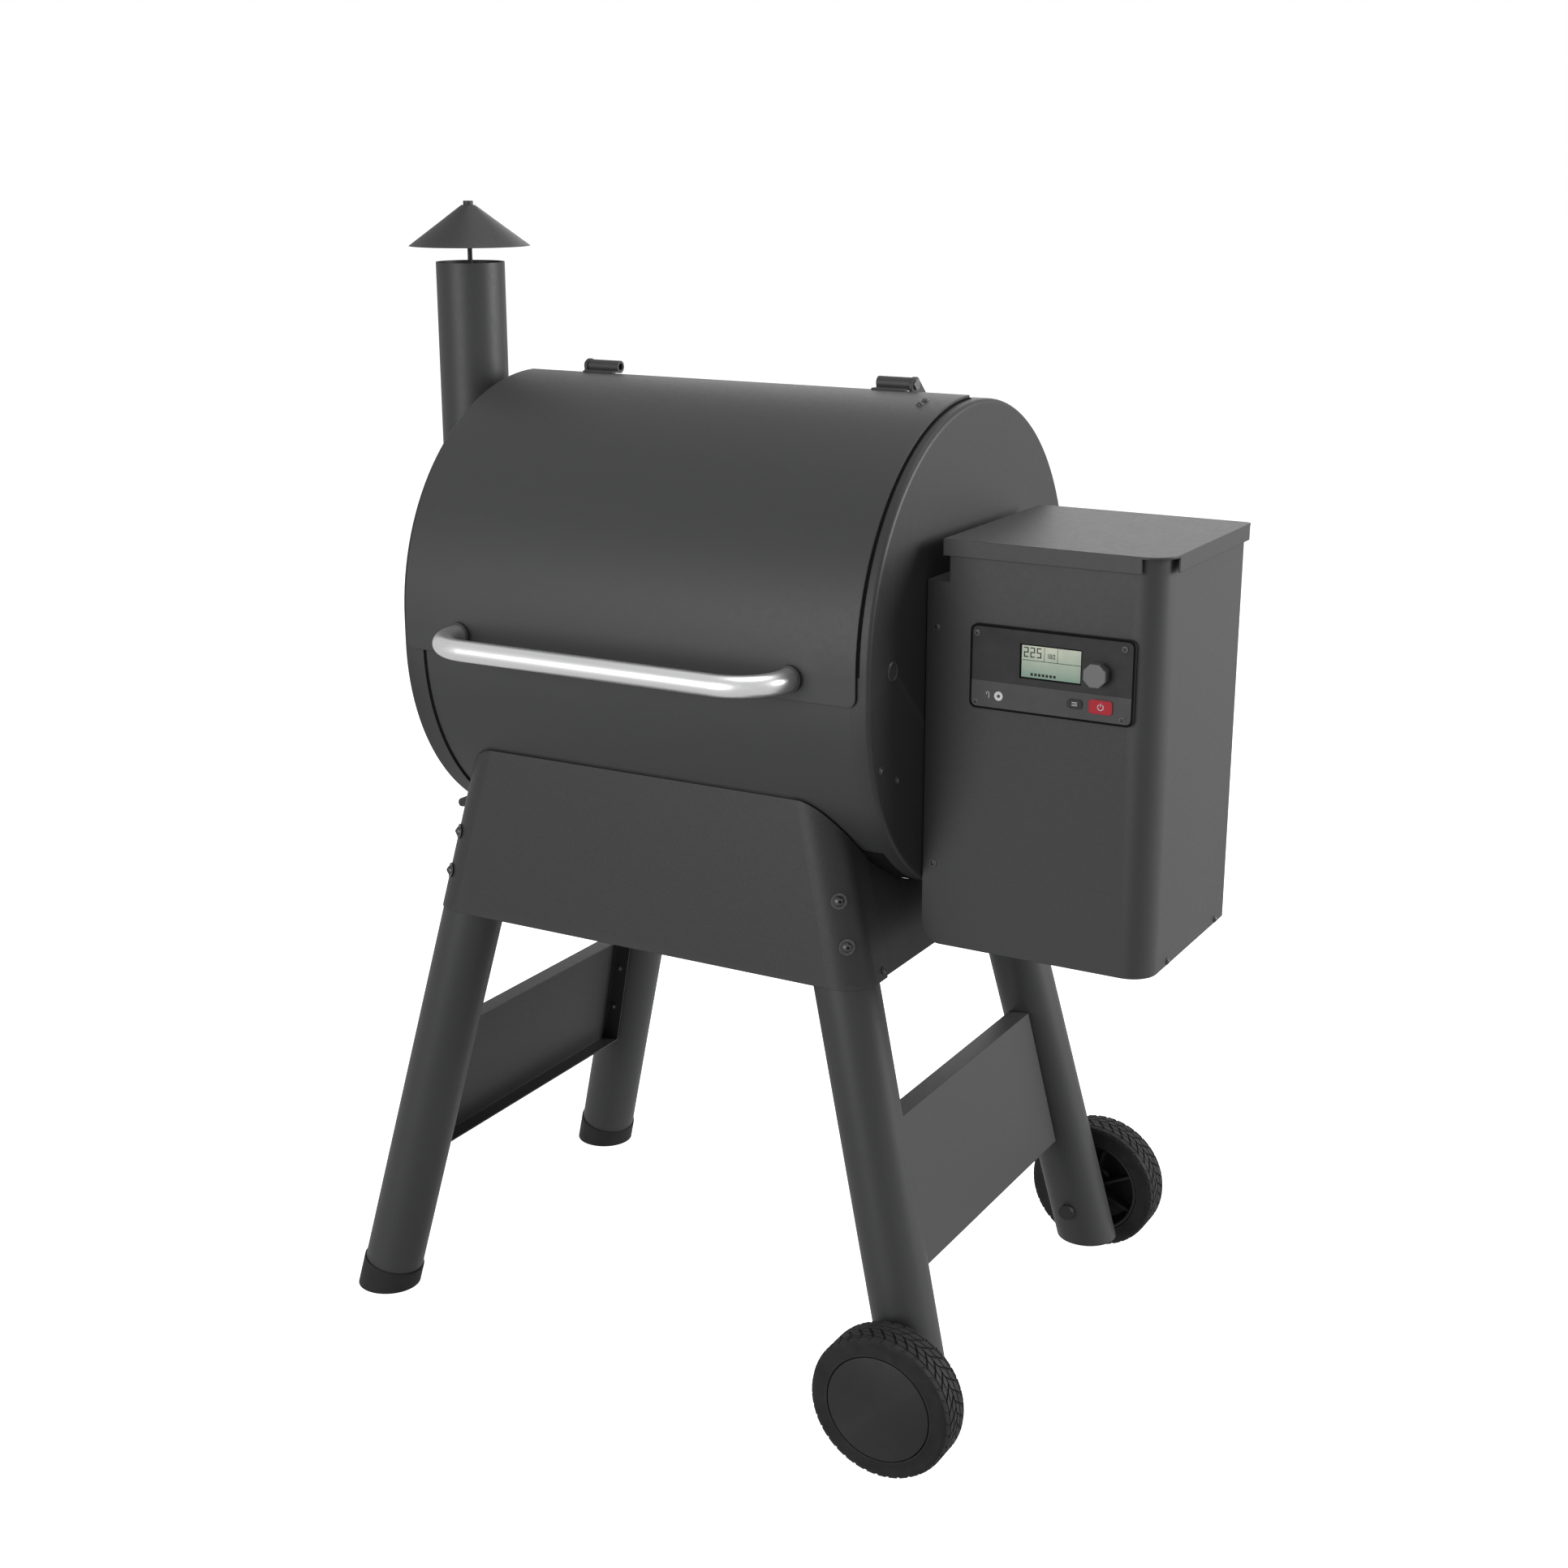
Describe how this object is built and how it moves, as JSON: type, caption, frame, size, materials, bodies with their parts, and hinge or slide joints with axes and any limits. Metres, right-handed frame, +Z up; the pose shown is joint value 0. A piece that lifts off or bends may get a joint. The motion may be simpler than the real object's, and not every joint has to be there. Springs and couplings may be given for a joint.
{
  "type": "pellet smoker grill",
  "caption": "Free-standing pellet smoker: lidded barrel on four sloping tube legs, two wheels, side pellet hopper with control panel, and a capped chimney.",
  "frame": {"origin": "centre of the object's box, on the floor", "axes": "+Z up, -Y the lid handle's side (front), +X the hopper's side"},
  "size_m": [1.0369, 0.676, 1.342],
  "materials": {
    "powder_coat": "fine textured dark grey powder coat",
    "steel_tube": "satin charcoal paint",
    "dark_screw": "black oxide",
    "silver_tube": "satin anodised",
    "zinc": "zinc plated",
    "black_plastic": "fine matt grain",
    "panel_plastic": "satin",
    "knob_plastic": "satin grey",
    "red_plastic": "gloss red",
    "screen": "clear over a pale liquid crystal",
    "rubber": "matt moulded",
    "tyre": "matt moulded tread",
    "grate_enamel": "porcelain enamel",
    "stainless": "bare"
  },
  "bodies": {
    "grill": {"barrel_shell": "powder_coat", "barrel_end_left": "powder_coat", "barrel_end_right": "powder_coat", "hopper_housing": "powder_coat", "front_apron": "powder_coat", "rear_apron": "powder_coat", "side_skirt_left": "powder_coat", "side_skirt_right": "powder_coat", "side_panel_left": "powder_coat", "side_panel_right": "powder_coat", "hinge_brackets": "powder_coat", "leg_front_left": "steel_tube", "leg_front_right": "steel_tube", "leg_back_left": "steel_tube", "leg_back_right": "steel_tube", "chimney_pipe": "steel_tube", "chimney_elbow": "steel_tube", "drain_spout": "steel_tube", "body_screws": "dark_screw", "hinge_pins": "dark_screw", "hopper_hinge": "dark_screw", "axle_bolts": "zinc", "chimney_rod": "zinc", "auger_tube": "zinc", "auger_motor": "zinc", "fan_housing": "zinc", "hopper_bin": "zinc", "probe_jack": "zinc", "end_port_plug": "black_plastic", "power_inlet": "black_plastic", "controller_box": "black_plastic", "panel_bezel": "panel_plastic", "lcd_display": "screen", "rubber_feet": "rubber", "grate_left": "grate_enamel", "grate_right": "grate_enamel", "drip_tray": "grate_enamel", "grate_rails": "stainless", "heat_baffle": "stainless", "firepot": "stainless", "igniter_rod": "stainless", "temperature_probe": "stainless"},
    "front_wheel": {"front_tyre": "tyre", "front_rim": "black_plastic", "front_hubcap": "black_plastic"},
    "rear_wheel": {"rear_tyre": "tyre", "rear_rim": "black_plastic", "rear_hubcap": "black_plastic"},
    "lid": {"lid_shell": "powder_coat", "lid_handle": "silver_tube", "handle_bezels": "black_plastic", "hinge_sleeves": "powder_coat", "lid_bolts": "dark_screw"},
    "hopper_cover": {"hopper_lid": "powder_coat"},
    "flue_cap": {"chimney_cap": "powder_coat"},
    "dial": {"dial_knob": "knob_plastic"},
    "menu_key": {"menu_button": "panel_plastic"},
    "ignite_key": {"ignite_button": "red_plastic"},
    "auger": {"auger_screw": "zinc"},
    "fan_wheel": {"fan_impeller": "black_plastic"}
  },
  "joints": [
    {"name": "lid_hinge", "type": "hinge", "parent": "grill", "child": "lid", "pos_m": [-0.06215, 0.018, 1.1514], "axis": [-1, 0, 0], "range_deg": [0, 88]},
    {"name": "hopper_lid_hinge", "type": "hinge", "parent": "grill", "child": "hopper_cover", "pos_m": [0.38785, 0.128, 1.002], "axis": [-1, 0, 0], "range_deg": [0, 100]},
    {"name": "flue_cap_height", "type": "slide", "parent": "grill", "child": "flue_cap", "axis": [0, 0, 1], "range_m": [-0.015, 0.012]},
    {"name": "front_wheel_spin", "type": "hinge", "parent": "grill", "child": "front_wheel", "pos_m": [0.30185, -0.305, 0.0848], "axis": [0, 1, 0], "continuous": true},
    {"name": "rear_wheel_spin", "type": "hinge", "parent": "grill", "child": "rear_wheel", "pos_m": [0.30185, 0.313, 0.0848], "axis": [0, 1, 0], "continuous": true},
    {"name": "dial_turn", "type": "hinge", "parent": "grill", "child": "dial", "pos_m": [0.44615, -0.129, 0.884], "axis": [0, -1, 0], "continuous": true},
    {"name": "menu_press", "type": "slide", "parent": "grill", "child": "menu_key", "axis": [0, 1, 0], "range_m": [0, 0.001], "stiffness_N_per_m": 600},
    {"name": "ignite_press", "type": "slide", "parent": "grill", "child": "ignite_key", "axis": [0, 1, 0], "range_m": [0, 0.001], "stiffness_N_per_m": 600},
    {"name": "auger_turn", "type": "hinge", "parent": "grill", "child": "auger", "pos_m": [0.03785, 0.004, 0.656], "axis": [1, 0, 0], "continuous": true},
    {"name": "fan_spin", "type": "hinge", "parent": "grill", "child": "fan_wheel", "pos_m": [0.28285, 0.076, 0.604], "axis": [1, 0, 0], "continuous": true}
  ]
}
